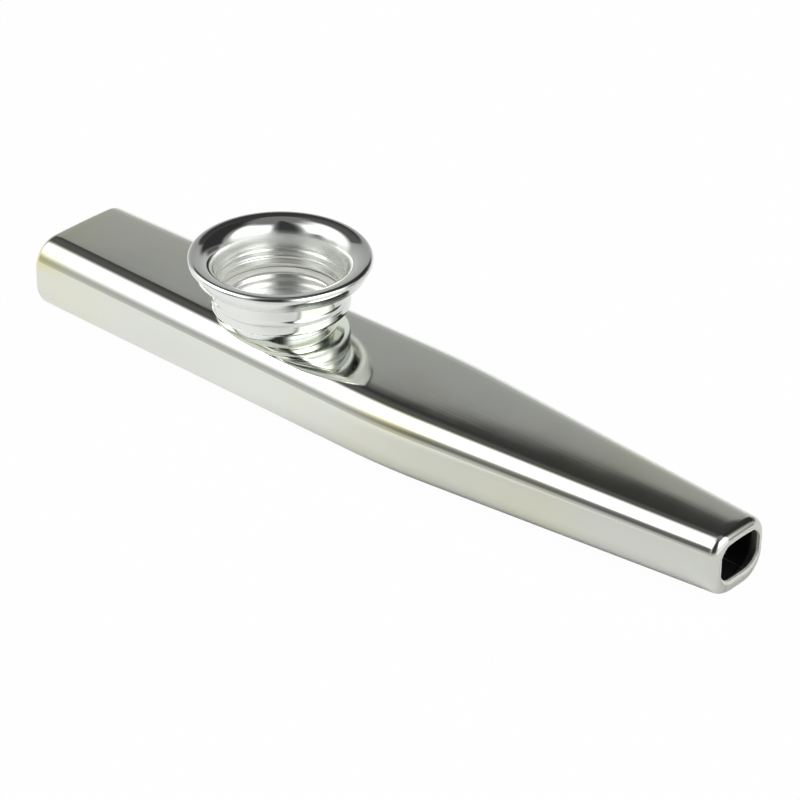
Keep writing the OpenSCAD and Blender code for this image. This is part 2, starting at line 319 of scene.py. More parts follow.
def lip_path(place, lip_r, hole, depth):
    """(distance, section) from the hole's edge to the straight body, for one surface of the sheet.

    place turns a distance from this end into a distance from the wide end."""
    path = []
    for k in range(EDGE_STEPS + 1):
        turn = math.radians(90 * k / EDGE_STEPS)
        if depth:
            path.append((place(depth), hole_section(hole, EDGE_R * k / EDGE_STEPS)))
        else:
            rounded = hole_section(hole, EDGE_R * (1 - math.cos(turn)))
            path.append((place(EDGE_R * (1 - math.sin(turn))), rounded))
    for k in range(LIP_STEPS, -1, -1):
        turn = math.radians(90 * k / LIP_STEPS)
        s = place(lip_r - (lip_r - depth) * math.sin(turn))
        path.append((s, section(s, lip_r - (lip_r - depth) * math.cos(turn))))
    return path


def bend_places():
    return [BEND_AT + BEND_BLEND * v for v in sweep(-1, 1, BEND_STEPS)]


def body_rings(depth, corners):
    """Rings of one surface of the body, from the wide hole's edge to the narrow hole's edge."""
    wide = lip_path(lambda d: d, WIDE_LIP_R, BLOW_HOLE, depth)
    narrow = lip_path(lambda d: body_l - d, NARROW_LIP_R, OUTLET, depth)
    run_in = sweep(WIDE_LIP_R + LIP_RUN, BEND_AT - BEND_BLEND, RUN_STEPS)[:-1]
    run_out = sweep(BEND_AT + BEND_BLEND, body_l - NARROW_LIP_R - LIP_RUN, RUN_STEPS)[1:]
    middle = [(s, section(s, depth)) for s in run_in + bend_places() + run_out]
    return [section_ring(s, c, corners) for s, c in wide + middle + narrow[::-1]]


print("rings on the wide end's lip:", len(lip_path(float, WIDE_LIP_R, BLOW_HOLE, 0)))

# %% [markdown]
# The tube is made of two pressings. The cover is the top, the sides and the upper part of the lower
# corners, and the base plate closes the underside. The seam between them is a hair-line gap low on
# the rounded corners, out of sight from above.

# %% Corners of the cover and of the base plate
# the seam's height on the corner and its width, both in degrees round the corner's middle
SEAM_ANGLE = 32
SEAM_GAP = 0.8
CORNER_STEPS = 32

cover_corners = (
    (RIGHT, LOWER, sweep(SEAM_ANGLE - 90, 0, CORNER_STEPS)),
    (RIGHT, UPPER, sweep(0, 90, CORNER_STEPS)),
    (LEFT, UPPER, sweep(90, 180, CORNER_STEPS)),
    (LEFT, LOWER, sweep(180, 270 - SEAM_ANGLE, CORNER_STEPS)),
)
plate_corners = (
    (LEFT, LOWER, sweep(270 - SEAM_ANGLE + SEAM_GAP, 270, CORNER_STEPS // 2)),
    (RIGHT, LOWER, sweep(-90, SEAM_ANGLE - 90 - SEAM_GAP, CORNER_STEPS // 2)),
)
print("seam at", SEAM_ANGLE, "degrees up the lower corners")

# %% [markdown]
# The inside of the tube was never polished, so it is dull, and little light gets in, so from a little
# way behind its holes its colour is darkened with painted shade. The cut edges of the two holes are
# dull but bright. At the turn of the near side and at the wide end, a warm reflection is painted on as
# yellow spots. Noise can't know any of this, so it is marked on the points.

# %% Marks for the body's finish
LIT_DEPTH = 1.8 * MM
# yellow spots of painted reflection on the near side, at the bend and at the wide end
PAINTED_REFLECTION_SPOTS = (
    # middle of the spot, and how far it reaches along each axis
    (Vector((10, -10.1, 10)) * MM, Vector((11, 4, 2.4)) * MM),
    (Vector((-58.6, -9, 8.6)) * MM, Vector((2.6, 3, 2.2)) * MM),
)


def painted_shade(point):
    """How much painted shade darkens the inside of the tube: 0 at the edge of a hole, 1 a little way behind
    it.
    """
    behind = min(point.x - cover_low.x, cover_high.x - point.x) - BODY_SHEET
    return min(1.0, behind / LIT_DEPTH)


def painted_reflection(point):
    """How much painted reflection a point of the body's outside takes as a yellow tint: 1 in the middle of a
    spot, 0 outside them all.
    """
    away = [
        math.hypot(*((at - centre) / size for at, centre, size in zip(point, middle, reach)))
        for middle, reach in PAINTED_REFLECTION_SPOTS
    ]
    return max(0.0, 1 - min(away))


def mark_shell(piece, outer, inner):
    """Marks a body shell: dull inside and on the cut edges of its holes, darkened inside by painted shade,
    and yellow spots of painted reflection outside.
    """
    last = len(outer) - 1 - EDGE_STEPS
    outer_dull = [float(not EDGE_STEPS < i < last) for i, ring in enumerate(outer) for _ in ring]
    outer_painted_reflection = [painted_reflection(point) for ring in outer for point in ring]
    inner_painted_shade = [painted_shade(point) for ring in inner for point in ring]
    mark(piece, "dull", outer_dull + [1.0] * len(inner_painted_shade))
    mark(piece, "dark", [0.0] * len(outer_dull) + inner_painted_shade)
    mark(piece, "painted_reflection", outer_painted_reflection + [0.0] * len(inner_painted_shade))


def body_shell(name, corners):
    outer, inner = body_rings(0, corners), body_rings(BODY_SHEET, corners)
    piece = sheet_piece(name, outer, inner)
    mark_shell(piece, outer, inner)
    return piece


cover = body_shell("cover_shell", cover_corners)
plate = body_shell("base_shell", plate_corners)
print("faces in the cover:", len(cover.data.polygons), "in the plate:", len(plate.data.polygons))

# %% [markdown]
# The cup's neck goes down through a round hole in the cover. A grid has no place for a round hole, so
# a cylinder is cut out of the finished cover with a Boolean modifier, and its result is kept as the
# cover's mesh.

# %% Hole for the cup's neck
NECK_HOLE_R = 7.54 * MM
NECK_HOLE_STEPS = 128
CUTTER_H = 4 * MM


def cut_neck_hole(piece):
    made = bmesh.new()
    bmesh.ops.create_cone(
        made, cap_ends=True, segments=NECK_HOLE_STEPS, radius1=NECK_HOLE_R, radius2=NECK_HOLE_R,
        depth=CUTTER_H, matrix=Matrix.Translation((turret_x, 0, body_top)),
    )
    mesh = bpy.data.meshes.new("neck_hole")
    made.to_mesh(mesh)
    made.free()
    cutter = bpy.data.objects.new("neck_hole", mesh)
    bpy.context.scene.collection.objects.link(cutter)
    cut = piece.modifiers.new("neck_hole", "BOOLEAN")
    cut.object = cutter
    cut.solver = "EXACT"
    graph = bpy.context.evaluated_depsgraph_get()
    result = bpy.data.meshes.new_from_object(piece.evaluated_get(graph))
    piece.modifiers.clear()
    piece.data = result
    bpy.data.objects.remove(cutter)
    bpy.data.meshes.remove(mesh)
    result.set_sharp_from_angle(angle=SHARP_ANGLE)


cut_neck_hole(cover)
print("faces in the cover with its hole:", len(cover.data.polygons))

# %% [markdown]
# Two straps inside the base plate lap the cover's edges and hold the seam together. Each is a short
# sheet of its own, swept along the tube, that steps inwards at the seam to clear the cover.

# %% Straps
# the lap is in degrees round the corner's middle, to either side of the seam
STRAP_LAP = 18
STRAP_INSET = 6 * MM
STRAP_GAP = 0.04 * MM
STRAP_SINK = BODY_SHEET / 3
STRAP_STEPS = 6


def strap_rings(side, base):
    """Rings of one strap's surface, at the depth base under the body's outside."""
    rings = []
    for s in [STRAP_INSET] + bend_places() + [body_l - STRAP_INSET]:
        ring = []
        for turn in sweep(-STRAP_LAP, STRAP_LAP, STRAP_STEPS):
            angle = SEAM_ANGLE - 90 + turn if side == RIGHT else 270 - SEAM_ANGLE - turn
            depth = base - STRAP_SINK if turn < 0 else base + STRAP_GAP
            ring += section_ring(s, section(s, depth), [(side, LOWER, [angle])])
        rings.append(ring)
    return rings


def add_strap(name, side):
    strap = sheet_piece(name, strap_rings(side, BODY_SHEET), strap_rings(side, 2 * BODY_SHEET))
    # the whole strap is dull, and its colour is darkened all over with painted shade, as it lies inside the
    # tube
    for finish in ("dull", "dark"):
        mark(strap, finish, [1.0] * len(strap.data.vertices))
    return strap


straps = [add_strap("base_strap_right", RIGHT), add_strap("base_strap_left", LEFT)]
print("straps:", [strap.name for strap in straps])

# %% [markdown]
# The cup and the bell are turned shapes: a profile spun about the turret's axis. What a plain spin
# can't give is the thread, which is rolled into the sheet after pressing. So the spin is done point
# by point, and wherever the profile is marked as threaded, the radius sinks by the depth of a groove
# that climbs one pitch in every turn. The same rule shapes the cup and the bell, so they stay in mesh.
# On the side of the sheet that carries no load the groove shows at less than half its depth.

# %% Helper: turned piece with a rolled thread
THREAD_PITCH = 1.25 * MM
THREAD_RUN = THREAD_PITCH / 4
THREAD_SHOW_SHARE = 0.4
TURN_STEPS = 192
WALL_STEPS = 90
TURNS = [2 * math.pi * k / TURN_STEPS for k in range(TURN_STEPS)]
PLAIN, THREADED, THREAD_SHOWN, UNDER_TOP = range(4)


def groove(z, angle):
    return (1 + math.cos(2 * math.pi * z / THREAD_PITCH - angle)) / 2


def turned_point(r, z, kind, angle, thread):
    """A profile point turned to an angle. A threaded one sinks into the groove, and one that lies
    under the body's top has its height measured down from that top."""
    if kind in (THREADED, THREAD_SHOWN):
        low, high, depth = thread
        share = max(0.0, min(1.0, (z - low) / THREAD_RUN, (high - z) / THREAD_RUN))
        shown = THREAD_SHOW_SHARE if kind == THREAD_SHOWN else 1
        r -= depth * shown * share * groove(z, angle)
    x, y = r * math.cos(angle), r * math.sin(angle)
    if kind == UNDER_TOP:
        z = top_height(turret_x - cover_low.x + x, y, z)
    return Vector((turret_x + x, y, z))


def turned_piece(name, profile, thread=None):
    """profile: closed loop of (radius, height, kind). thread: (low, high, depth) heights."""
    rings = [[turned_point(r, z, kind, angle, thread) for angle in TURNS] for r, z, kind in profile]
    verts = [v for ring in rings for v in ring]
    faces = []
    for i in range(len(rings)):
        ring, next_ring = i * TURN_STEPS, (i + 1) % len(rings) * TURN_STEPS
        for j in range(TURN_STEPS):
            beside = (j + 1) % TURN_STEPS
            faces.append((ring + j, ring + beside, next_ring + beside, next_ring + j))
    return link_mesh(name, verts, faces)


def arc(centre_r, centre_z, radius, start, end, steps):
    """Points of an arc in the profile's plane."""
    turns = [math.radians(angle) for angle in sweep(start, end, steps)]
    return [(centre_r + radius * math.cos(t), centre_z + radius * math.sin(t), PLAIN) for t in turns]


def wall(kind, r, start, end):
    """Points of an upright wall, close enough together to carry a thread."""
    return [(r, z, kind) for z in sweep(start, end, WALL_STEPS)]


print(f"thread climbs {THREAD_PITCH / MM} mm a turn, in {TURN_STEPS} steps")

# %% [markdown]
# The cup starts as an edge spread against the inside of the body's top, comes up through it as a
# narrow neck, steps out to a ledge for the membrane and turns up into the threaded wall, which ends
# in a rolled bead. The spread edge follows the body's rounded corners, so its points are placed by
# their depth under the top.

# %% Turret cup
CUP_SHEET = 0.38 * MM
NECK_R = 7.5 * MM
SPREAD_R = 8.3 * MM
NECK_GAP = 0.04 * MM
CUP_R = 9.75 * MM
CUP_BEND_R = 0.9 * MM
CUP_BEAD_R = 0.36 * MM
CUP_THREAD_DEPTH = 0.28 * MM
SEAT_RISE = 1.5 * MM
SPREAD_STEPS = 6
NECK_TURN_R = 0.35 * MM
NECK_TURN_IN_R = 0.3 * MM
ARC_CLEAR = 0.05 * MM
CUP_THREAD_FROM, CUP_THREAD_TO = 0.57 * MM, 2 * MM

cup_z = body_top + SEAT_RISE
cup_in_r = CUP_R - CUP_SHEET
cup_bend_r = CUP_R - CUP_BEND_R
neck_in_r = NECK_R - CUP_SHEET
spread_depth = BODY_SHEET + NECK_GAP
bead_z = cup_high.z - CUP_BEAD_R
thread_z = cup_z + CUP_BEND_R
cup_profile = (
    [(r, spread_depth + CUP_SHEET, UNDER_TOP) for r in sweep(neck_in_r, SPREAD_R, SPREAD_STEPS)]
    + [(r, spread_depth, UNDER_TOP) for r in sweep(SPREAD_R, NECK_R, SPREAD_STEPS)]
    + arc(NECK_R + NECK_TURN_R, cup_z - NECK_TURN_R, NECK_TURN_R, 180, 90, steps=8)
    + arc(cup_bend_r, thread_z, CUP_BEND_R, -90, 0, steps=12)
    + wall(THREAD_SHOWN, CUP_R, thread_z + ARC_CLEAR, bead_z - CUP_BEAD_R)
    + arc(cup_in_r + CUP_BEAD_R, bead_z, CUP_BEAD_R, -60, 180, steps=20)
    + wall(THREADED, cup_in_r, bead_z - ARC_CLEAR, thread_z + ARC_CLEAR)
    + arc(cup_bend_r, thread_z, CUP_BEND_R - CUP_SHEET, 0, -90, steps=8)
    + arc(neck_in_r + NECK_TURN_IN_R, cup_z + CUP_SHEET - NECK_TURN_IN_R, NECK_TURN_IN_R, 90, 180, steps=6)
)
cup_thread = (thread_z + CUP_THREAD_FROM, thread_z + CUP_THREAD_TO, CUP_THREAD_DEPTH)
cup = turned_piece("cup_shell", cup_profile, cup_thread)
print("cup faces:", len(cup.data.polygons))

# %% [markdown]
# The bell screws into the cup. Its wall carries the matching thread and opens through a quarter of an
# ellipse into a broad lip. The lip is rolled over at its outer edge, comes back inwards and down, and
# ends in a tight curl that hides the cut edge of the sheet. Both sides of the sheet follow the same
# path, one thickness apart.

# %% Bell cap
CAP_SHEET = 0.38 * MM
THREAD_GAP = 0.08 * MM
CAP_THREAD_DEPTH = 0.32 * MM
FLARE_H = 3.2 * MM
PLAIN_H = 0.48 * MM
LIP_EDGE_R = 0.65 * MM
LIP_H = 2.7 * MM
LIP_LEAN = 0.84 * MM
LIP_CURL_R = 0.5 * MM
LIP_CURL_ANGLE = 200
FLARE_STEPS = 32
LIP_ARC_STEPS = 16

cap_in_r = cup_in_r - THREAD_GAP - CAP_SHEET
crest_r = bell_r - LIP_EDGE_R
flare_w = crest_r - cap_in_r
flare_z = bell_top - FLARE_H
edge_middle = Vector((crest_r, bell_top - LIP_EDGE_R))
curl_middle = Vector((bell_r - LIP_LEAN - LIP_CURL_R, bell_top - LIP_H + LIP_CURL_R))
edge_to_curl = curl_middle - edge_middle
leave_angle = math.degrees(
    math.atan2(edge_to_curl.y, edge_to_curl.x) + math.acos((LIP_EDGE_R - LIP_CURL_R) / edge_to_curl.length)
)


def bell_side(depth):
    """One side of the bell's sheet, at a depth in it, from its lower edge to the end of the curl."""
    kind = THREAD_SHOWN if depth == 0 else THREADED
    turns = [math.radians(angle) for angle in sweep(180, 90, FLARE_STEPS)]
    flare = [
        (crest_r + (flare_w - depth) * math.cos(t), flare_z + (FLARE_H - depth) * math.sin(t), PLAIN)
        for t in turns
    ]
    return (
        wall(kind, cap_in_r + depth, cap_low.z, flare_z - ARC_CLEAR) + flare
        + arc(*edge_middle, LIP_EDGE_R - depth, 90, leave_angle, LIP_ARC_STEPS)[1:]
        + arc(*curl_middle, LIP_CURL_R - depth, leave_angle, -LIP_CURL_ANGLE, LIP_ARC_STEPS)
    )


cap_profile = bell_side(0) + bell_side(CAP_SHEET)[::-1]
cap_thread = (cap_low.z - THREAD_RUN, flare_z - PLAIN_H, CAP_THREAD_DEPTH)
cap = turned_piece("bell_shell", cap_profile, cap_thread)
print("bell faces:", len(cap.data.polygons))

# %% [markdown]
# The wheel polishes the lip and the flare but hardly gets down into the ribbed throat. Its edge rubs
# the turn between them dullest of all, and the wall below keeps some of the pressing's own shine.

# %% Marks for the bell's finish
THROAT_RISE = 1.9 * MM
THROAT_FADE = 0.9 * MM
DEEP_DULL = 0.45


def throat_dull(point):
    """How dull a point of the bell is: 0 on the lip, 1 where the flare ends, less on the wall below."""
    if math.hypot(point.x - turret_x, point.y) >= crest_r:
        return 0.0
    below_flare = max(0.0, flare_z - point.z) / THROAT_FADE
    below_rise = min(1.0, (flare_z + THROAT_RISE - point.z) / THROAT_FADE)
    return max(DEEP_DULL * min(1.0, below_flare), below_rise - below_flare)


bell_dull = [throat_dull(vertex.co) for vertex in cap.data.vertices]
mark(cap, "dull", bell_dull)
print("share of the bell's points that are dull:", round(sum(v > 0 for v in bell_dull) / len(bell_dull), 2))

# %% [markdown]
# The membrane is a thin film between two flat rings. The cap presses the stack on the cup's ledge.
# The film isn't perfectly flat: it is drawn into a very shallow dish when the cap is tightened.

# %% Membrane and its rings
RING_R = 8.85 * MM
RING_HOLE_R = 7.7 * MM
RING_EDGE_R = 0.05 * MM
RING_EDGE_STEPS = 3
FILM_RINGS = 24
FILM_DISH = 0.012 * MM


def ring_piece(name, node):
    low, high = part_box(node)
    out_r, in_r = RING_R - RING_EDGE_R, RING_HOLE_R + RING_EDGE_R
    low_z, high_z = low.z + RING_EDGE_R, high.z - RING_EDGE_R
    corners = ((out_r, low_z, -90), (out_r, high_z, 0), (in_r, high_z, 90), (in_r, low_z, 180))
    return turned_piece(name, [
        point for r, z, start in corners
        for point in arc(r, z, RING_EDGE_R, start, start + 90, RING_EDGE_STEPS)
    ])


def film_piece(name):
    """A round film with a shallow dish in the part that the rings leave free."""
    radius = (film_high.x - film_low.x) / 2
    top = [Vector((turret_x, 0, film_high.z - FILM_DISH))]
    under = [Vector((turret_x, 0, film_low.z))]
    for i in range(1, FILM_RINGS + 1):
        r = radius * i / FILM_RINGS
        sink = FILM_DISH * max(0.0, 1 - (r / RING_HOLE_R) ** 2)
        top += [turned_point(r, film_high.z - sink, PLAIN, angle, None) for angle in TURNS]
        under += [turned_point(r, film_low.z, PLAIN, angle, None) for angle in TURNS]
    rim = 1 + (FILM_RINGS - 1) * TURN_STEPS
    faces = []
    for k in range(TURN_STEPS):
        beside = (k + 1) % TURN_STEPS
        for middle in (0, len(top)):
            faces.append((middle, middle + 1 + k, middle + 1 + beside))
            for inner in range(middle + 1, middle + rim, TURN_STEPS):
                outer = inner + TURN_STEPS
                faces.append((inner + k, outer + k, outer + beside, inner + beside))
        faces.append((rim + k, len(top) + rim + k, len(top) + rim + beside, rim + beside))
    return link_mesh(name, top + under, faces)


lower_ring = ring_piece("lower_film_ring", "lower_membrane_ring")
upper_ring = ring_piece("upper_film_ring", "upper_membrane_ring")
film = film_piece("film_disc")
print("film is", round((film_high.x - film_low.x) / MM, 1), "mm across")

# %% [markdown]
# A material is a tree of nodes. It could be built by hand in the node editor, but as code it can be
# read and changed. A few short helpers add the nodes that are needed again and again, so that what is
# left to read is the finish itself.

# %% Helpers: nodes
def add_node(tree, kind, inputs=None, **settings):
    """Adds a node with its settings. Each input takes a value or another node's output."""
    node = tree.nodes.new(kind)
    for key, value in settings.items():
        setattr(node, key, value)
    for key, value in (inputs or {}).items():
        if isinstance(value, bpy.types.NodeSocket):
            tree.links.new(value, node.inputs[key])
        else:
            node.inputs[key].default_value = value
    return node


def maths(tree, operation, *values):
    """A maths node fed by numbers or by other nodes' outputs. Returns its output."""
    return add_node(tree, "ShaderNodeMath", dict(enumerate(values)), operation=operation).outputs[0]


def noise(tree, place, scale, detail):
    node = add_node(tree, "ShaderNodeTexNoise", {"Vector": place, "Scale": scale, "Detail": detail})
    return node.outputs["Fac"]


def blend(tree, kind, factor, first, second):
    """Blends two numbers (FLOAT) or two colours (RGBA) by a factor."""
    inputs = {"Factor": factor, "A": first, "B": second}
    return add_node(tree, "ShaderNodeMix", inputs, data_type=kind).outputs["Result"]


def ranged(tree, value, inputs, **settings):
    """Moves a number from one range to another."""
    return add_node(tree, "ShaderNodeMapRange", {"Value": value, **inputs}, **settings).outputs["Result"]


def marked(tree, name):
    """Reads a mark that was stored for each point."""
    return add_node(tree, "ShaderNodeAttribute", attribute_name=name).outputs["Fac"]


def object_place(tree):
    return add_node(tree, "ShaderNodeTexCoord").outputs["Object"]


def new_group(name, inputs, outputs):
    """A node group with named inputs and outputs. Returns it, what it is given and what it puts out."""
    group = bpy.data.node_groups.new(name, "ShaderNodeTree")
    for key, kind, value in inputs:
        group.interface.new_socket(name=key, in_out="INPUT", socket_type=kind).default_value = value
    for key, kind in outputs:
        group.interface.new_socket(name=key, in_out="OUTPUT", socket_type=kind)
    return group, add_node(group, "NodeGroupInput").outputs, add_node(group, "NodeGroupOutput").inputs


NUMBER, COLOUR, VECTOR = "NodeSocketFloat", "NodeSocketColor", "NodeSocketVector"


def grey(value):
    return (value, value, value, 1)


# %% [markdown]
# Plated metal is a mirror first, so its material is mostly what it reflects. What makes it look real
# is how the mirror is imperfect: fine lines from polishing, slight waves from pressing, handling
# haze that roughens it in patches, and a breath of warm tarnish. From the marks on the points it also
# paints shade into the colour inside the tube and a warm reflection as yellow spots. Both metals need
# the same effect at different strengths, so it is one node group with inputs, put in each material
# with its own values.

# %% Node group: worn polish
POLISH_INPUTS = (
    ("Clean colour", COLOUR, grey(0.8)),
    ("Tarnish and reflection colour", COLOUR, (0.7, 0.66, 0.5, 1)),
    ("Tarnish", NUMBER, 0.1),
    ("Low roughness", NUMBER, 0.05),
    ("High roughness", NUMBER, 0.15),
    ("Dull roughness", NUMBER, 0.3),
    ("Dull scatter", NUMBER, 0.5),
    # the colour of the painted shade inside the tube
    ("Painted shade colour", COLOUR, grey(0.015)),
    ("Grain scale", VECTOR, (60, 1500, 1500)),
    ("Grain", NUMBER, 0.05),
    ("Waves", NUMBER, 0.05),
)
POLISH_OUTPUTS = (("Colour", COLOUR), ("Roughness", NUMBER), ("Metallic", NUMBER), ("Normal", VECTOR))
# each noise's scale, about one over the size of its patches in metres, and its detail
HAZE = (120, 5)
BLOTCHES = (45, 3)
WAVES = (90, 1)
GRAIN = (1, 2)  # drawn out by the group's own input
HAZE_FROM, HAZE_TO = 0.35, 0.75
BLOTCH_FROM, BLOTCH_TO = 0.5, 0.8
WAVE_HEIGHT = 0.1 * MM
GRAIN_HEIGHT = 0.01 * MM


def worn_polish_group():
    """Puts out a colour, a roughness, a share of metal and a normal that vary over a polished surface."""
    group, given, out = new_group("worn_polish", POLISH_INPUTS, POLISH_OUTPUTS)
    place = object_place(group)
    dull = marked(group, "dull")

    roughness = ranged(group, noise(group, place, *HAZE), {
        "From Min": HAZE_FROM, "From Max": HAZE_TO,
        "To Min": given["Low roughness"], "To Max": given["High roughness"],
    })
    roughness = blend(group, "FLOAT", dull, roughness, given["Dull roughness"])
    metallic = maths(group, "SUBTRACT", 1, maths(group, "MULTIPLY", dull, given["Dull scatter"]))

    blotches = ranged(group, noise(group, place, *BLOTCHES), {
        "From Min": BLOTCH_FROM, "From Max": BLOTCH_TO, "To Max": given["Tarnish"],
    })
    # random tarnish blotches, with the marked yellow spots of painted reflection laid over them
    tarnish_and_reflection = maths(group, "MAXIMUM", blotches, marked(group, "painted_reflection"))
    colour = blend(group, "RGBA", tarnish_and_reflection, given["Clean colour"], given["Tarnish and reflection colour"])
    # painted shade: the marked inside of the tube is darkened towards the dark colour
    colour = blend(group, "RGBA", marked(group, "dark"), colour, given["Painted shade colour"])

    stretch = {0: place, 1: given["Grain scale"]}
    drawn_out = add_node(group, "ShaderNodeVectorMath", stretch, operation="MULTIPLY").outputs["Vector"]
    waves = add_node(group, "ShaderNodeBump", {
        "Strength": given["Waves"], "Distance": WAVE_HEIGHT, "Height": noise(group, place, *WAVES),
    })
    grain = add_node(group, "ShaderNodeBump", {
        "Strength": given["Grain"], "Distance": GRAIN_HEIGHT,
        "Height": noise(group, drawn_out, *GRAIN), "Normal": waves.outputs["Normal"],
    })
    results = (colour, roughness, metallic, grain.outputs["Normal"])
    for (name, _), result in zip(POLISH_OUTPUTS, results):
        group.links.new(result, out[name])
    return group


worn_polish = worn_polish_group()
print("worn polish inputs:", [name for name, *_ in POLISH_INPUTS])

# %% [markdown]
# The body's plating is satin-bright: it was polished along its length, so its grain is drawn out in
# that direction and it blurs reflections a little. The turret was polished on a spindle to a mirror.

# %% Metal materials
SHADER_INPUTS = {"Colour": "Base Color", "Roughness": "Roughness", "Metallic": "Metallic", "Normal": "Normal"}


def new_material(name, group, values):
    """A material whose shader is fed by a node group with its own values. Returns all three."""
    material = bpy.data.materials.new(name)
    material.use_nodes = True
    tree = material.node_tree
    finish = add_node(tree, "ShaderNodeGroup", values, node_tree=group)
    shader = tree.nodes["Principled BSDF"]
    for key, result in finish.outputs.items():
        if key in SHADER_INPUTS:
            tree.links.new(result, shader.inputs[SHADER_INPUTS[key]])
    return material, finish, shader


body_metal, *_ = new_material("satin_plating", worn_polish, {
    "Clean colour": (0.83, 0.85, 0.785, 1),
    # this yellow tints the random tarnish and also the spots of painted reflection
    "Tarnish and reflection colour": (0.84, 0.79, 0.41, 1),
    "Tarnish": 0.28,
    "Low roughness": 0.07,
    "High roughness": 0.12,
    "Dull roughness": 0.5,
    "Dull scatter": 0.8,
    "Grain scale": (60, 1800, 1800),
    "Grain": 0.12,
    "Waves": 0.03,
})
turret_metal, *_ = new_material("mirror_plating", worn_polish, {
    "Clean colour": (0.88, 0.90, 0.868, 1),
    "Tarnish and reflection colour": (0.88, 0.86, 0.68, 1),
    "Tarnish": 0.25,
    "Low roughness": 0.06,
    "High roughness": 0.10,
    "Dull roughness": 0.38,
    "Dull scatter": 0.2,
    "Grain scale": (300, 300, 2500),
    "Grain": 0.05,
    "Waves": 0.02,
})
print("metals:", body_metal.name, turret_metal.name)

# %% [markdown]
# The film is thin and silvery, with a faint crinkle. The rings that hold it are pale card-thin
# plastic with a faint speckle. Both vary finely in colour and roughness, so they share one node
# group at two scales.

# %% Node group: fine speckle
SPECKLE_INPUTS = (
    ("Scale", NUMBER, 500),
    ("Detail", NUMBER, 3),
    ("First colour", COLOUR, grey(0.8)),
    ("Second colour", COLOUR, grey(0.7)),
    ("Low roughness", NUMBER, 0.2),
    ("High roughness", NUMBER, 0.3),
)
SPECKLE_OUTPUTS = (("Colour", COLOUR), ("Roughness", NUMBER), ("Height", NUMBER))


def fine_speckle_group():
    """Puts out a colour and a roughness that vary with one fine noise, and the noise as a height."""
    group, given, out = new_group("fine_speckle", SPECKLE_INPUTS, SPECKLE_OUTPUTS)
    speckle = noise(group, object_place(group), given["Scale"], given["Detail"])
    roughness = ranged(group, speckle, {"To Min": given["Low roughness"], "To Max": given["High roughness"]})
    colour = blend(group, "RGBA", speckle, given["First colour"], given["Second colour"])
    for (name, _), result in zip(SPECKLE_OUTPUTS, (colour, roughness, speckle)):
        group.links.new(result, out[name])
    return group


fine_speckle = fine_speckle_group()
print("fine speckle inputs:", [name for name, *_ in SPECKLE_INPUTS])

# %% [markdown]
# The film is nearly a mirror under a thin clear coat, and its crinkle also bends the light a little,
# through a bump. The rings need nothing but their speckle.

# %% Film and ring materials
FILM_METALLIC = 0.9
FILM_COAT = 0.3
CRINKLE_STRENGTH = 0.05
CRINKLE_HEIGHT = 0.05 * MM

film_look, crinkle, film_shader = new_material("silvery_film", fine_speckle, {
    "Scale": 250,
    "Detail": 3,
    "First colour": (0.86, 0.86, 0.85, 1),
    "Second colour": (0.78, 0.78, 0.76, 1),
    "Low roughness": 0.06,
    "High roughness": 0.16,
})
film_shader.inputs["Metallic"].default_value = FILM_METALLIC
film_shader.inputs["Coat Weight"].default_value = FILM_COAT
film_bump = add_node(film_look.node_tree, "ShaderNodeBump", {
    "Strength": CRINKLE_STRENGTH, "Distance": CRINKLE_HEIGHT, "Height": crinkle.outputs["Height"],
})
film_look.node_tree.links.new(film_bump.outputs["Normal"], film_shader.inputs["Normal"])

ring_look, *_ = new_material("ring_plastic", fine_speckle, {
    "Scale": 900,
    "Detail": 4,
    "First colour": (0.80, 0.79, 0.75, 1),
    "Second colour": (0.70, 0.69, 0.65, 1),
    "Low roughness": 0.25,
    "High roughness": 0.45,
})
print("film and rings:", film_look.name, ring_look.name)

# %% [markdown]
# Each finer piece takes its finish, stands in for its piece of the working model and rides on the
# same body, so the bell turns and rises when the cap is unscrewed.

# %% Dress and attach the pieces
def dress(piece, material, body, slot, *nodes):
    piece.data.materials.clear()
    piece.data.materials.append(material)
    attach(piece, body)
    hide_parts(*nodes)


dress(cover, body_metal, "kazoo_body", "body_metal", "body_cover")
dress(plate, body_metal, "kazoo_body", "body_metal", "base_plate")
for strap in straps:
    dress(strap, body_metal, "kazoo_body", "body_metal", "base_plate")
dress(cup, turret_metal, "kazoo_body", "turret_metal", "turret_cup")
dress(lower_ring, ring_look, "kazoo_body", "membrane_ring", "lower_membrane_ring")
dress(film, film_look, "kazoo_body", "membrane_film", "membrane")
dress(upper_ring, ring_look, "clamping_ring", "membrane_ring", "upper_membrane_ring")
dress(cap, turret_metal, "cap", "turret_metal", "bell_cap")
print("pieces that turn with the cap:", cap.name)

# %% [markdown]
# The kazoo lies on a seamless white sweep. The floor is a wide white plane that takes the soft
# shadow. For the camera most of its brightness is its own white, so the table stays white under the
# soft light and the shadow on it stays faint. The metal reflects a greyer table with a painted pool of
# light: its own glow is brighter on the side that the big white card stands on. It lies a hair lower
# than the kazoo's underside, so that the two flat faces never share a plane.

# %% Floor
FLOOR_SIZE = 3.0
FLOOR_GAP = 0.02 * MM
SEEN_WHITE = 0.98
PAPER_GREY = 0.78
BRIGHT_SIDE_X, DIM_SIDE_X = -26 * MM, 16 * MM
REFLECTED_BRIGHT, REFLECTED_DIM = 0.62, 0.02


